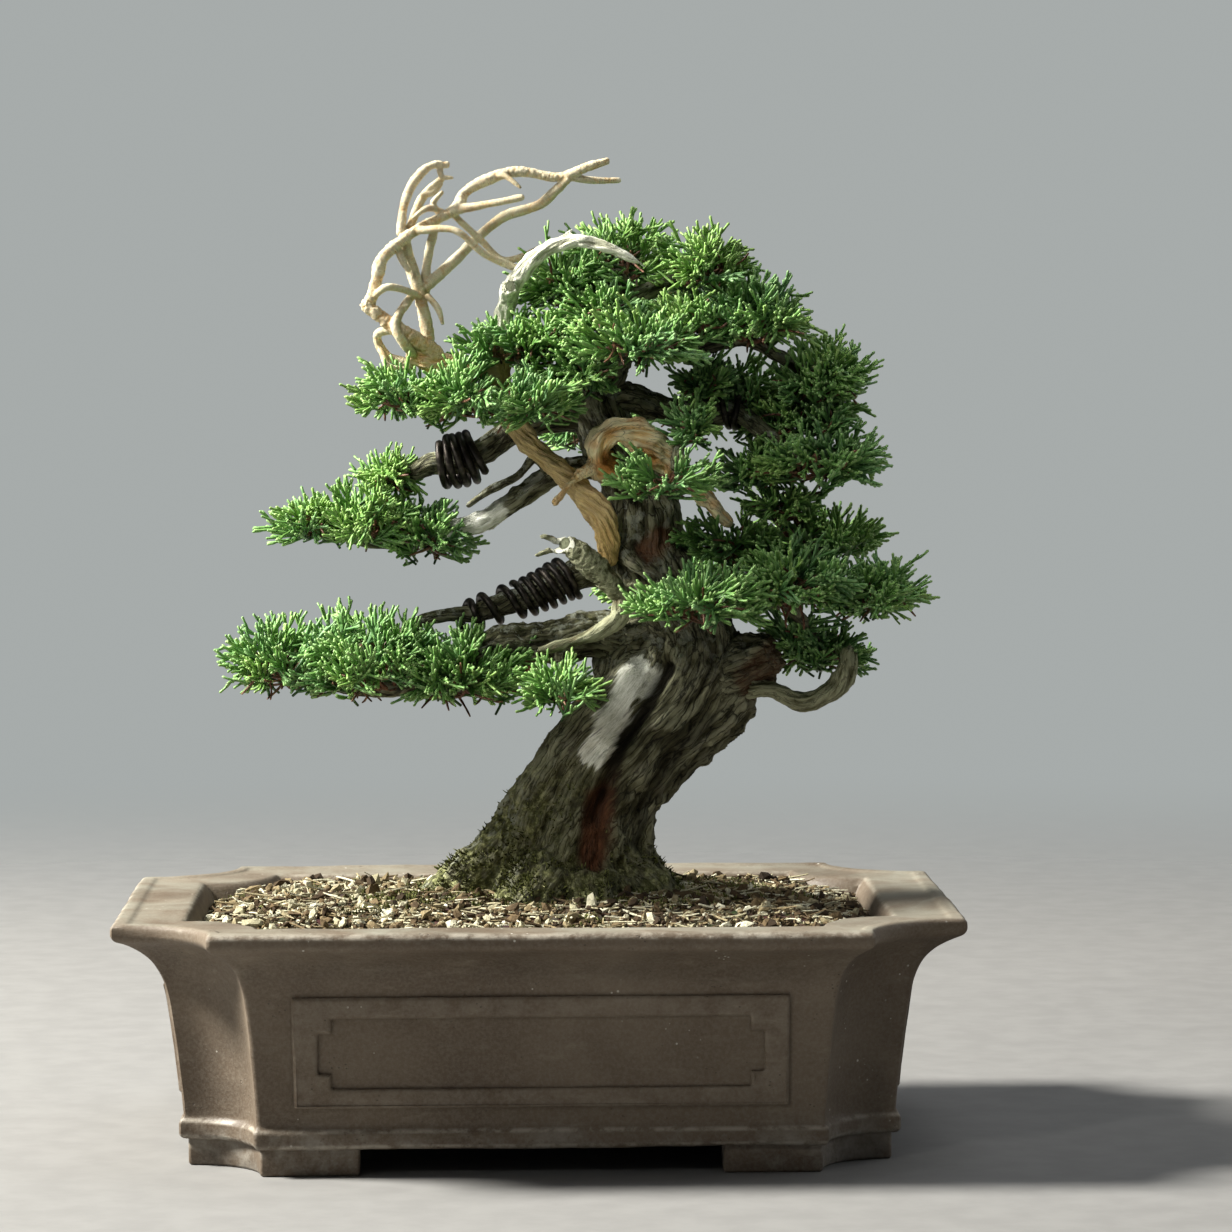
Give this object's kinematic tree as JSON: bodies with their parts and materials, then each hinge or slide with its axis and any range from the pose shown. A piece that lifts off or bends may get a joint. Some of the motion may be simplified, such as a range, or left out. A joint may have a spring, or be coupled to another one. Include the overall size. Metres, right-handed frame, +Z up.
{
  "type": "bonsai tree in a pot",
  "caption": "Juniper bonsai with a twisted leaning trunk, bleached deadwood and layered foliage pads, planted in a rectangular stoneware pot on bracket feet.",
  "frame": {"origin": "centre of the pot's footprint, on the surface it stands on", "axes": "+X to the viewer's right along the pot's long side, +Y away from the viewer, +Z up"},
  "size_m": [0.28, 0.21, 0.3323],
  "materials": {
    "stoneware": "unglazed brown-grey stoneware, matt with a faint sheen",
    "soil_mix": "granular planting mix with a moss and chopped sphagnum dressing",
    "pumice": "coarse porous grains",
    "plastic_screen": "black plastic mesh",
    "bare_wire": "bare soft aluminium wire",
    "bark": "rough stringy bark, mossy low on the trunk",
    "deadwood_grey": "weathered grey-green bare wood",
    "deadwood_tan": "fresh tan bare wood, split and fibrous",
    "dark_wire": "dark brown anodised training wire",
    "foliage": "scale-leaf juniper shoots, satin green"
  },
  "bodies": {
    "root": {"branch_back_high": "bark", "branch_back_low": "bark", "branch_coiled": "bark", "branch_low_left": "bark", "branch_low_left_wired": "bark", "branch_low_right": "bark", "branch_mid_left": "bark", "branch_mid_right": "bark", "branch_upper_left": "bark", "branch_upper_right": "bark", "deadwood_centre": "deadwood_tan", "deadwood_crown": "deadwood_tan", "deadwood_leader": "deadwood_grey", "deadwood_low_left": "deadwood_grey", "deadwood_low_right": "deadwood_grey", "drain_screen_left": "plastic_screen", "drain_screen_right": "plastic_screen", "drainage_layer": "pumice", "foliage_apex": "foliage", "foliage_apex_front": "foliage", "foliage_apex_left": "foliage", "foliage_apex_right": "foliage", "foliage_back_apex": "foliage", "foliage_back_high": "foliage", "foliage_back_low": "foliage", "foliage_low_left_front": "foliage", "foliage_low_left_inner": "foliage", "foliage_low_left_middle": "foliage", "foliage_low_left_tip": "foliage", "foliage_low_right_front": "foliage", "foliage_low_right_middle": "foliage", "foliage_low_right_tip": "foliage", "foliage_low_right_under": "foliage", "foliage_low_right_upper": "foliage", "foliage_mid_left_inner": "foliage", "foliage_mid_left_middle": "foliage", "foliage_mid_left_tip": "foliage", "foliage_mid_left_top": "foliage", "foliage_mid_right": "foliage", "foliage_mid_right_front": "foliage", "foliage_right_inner": "foliage", "foliage_upper_left_inner": "foliage", "foliage_upper_left_middle": "foliage", "foliage_upper_left_tip": "foliage", "foliage_upper_left_top": "foliage", "foliage_upper_right_tip": "foliage", "foliage_upper_right_top": "foliage", "pot": "stoneware", "screen_clip_left": "bare_wire", "screen_clip_right": "bare_wire", "soil": "soil_mix", "tie_down_wire": "bare_wire", "trunk": "bark", "wire_low_left": "dark_wire", "wire_low_left_second": "dark_wire", "wire_mid_right": "dark_wire", "wire_thick_coil": "dark_wire"}
  },
  "joints": []
}
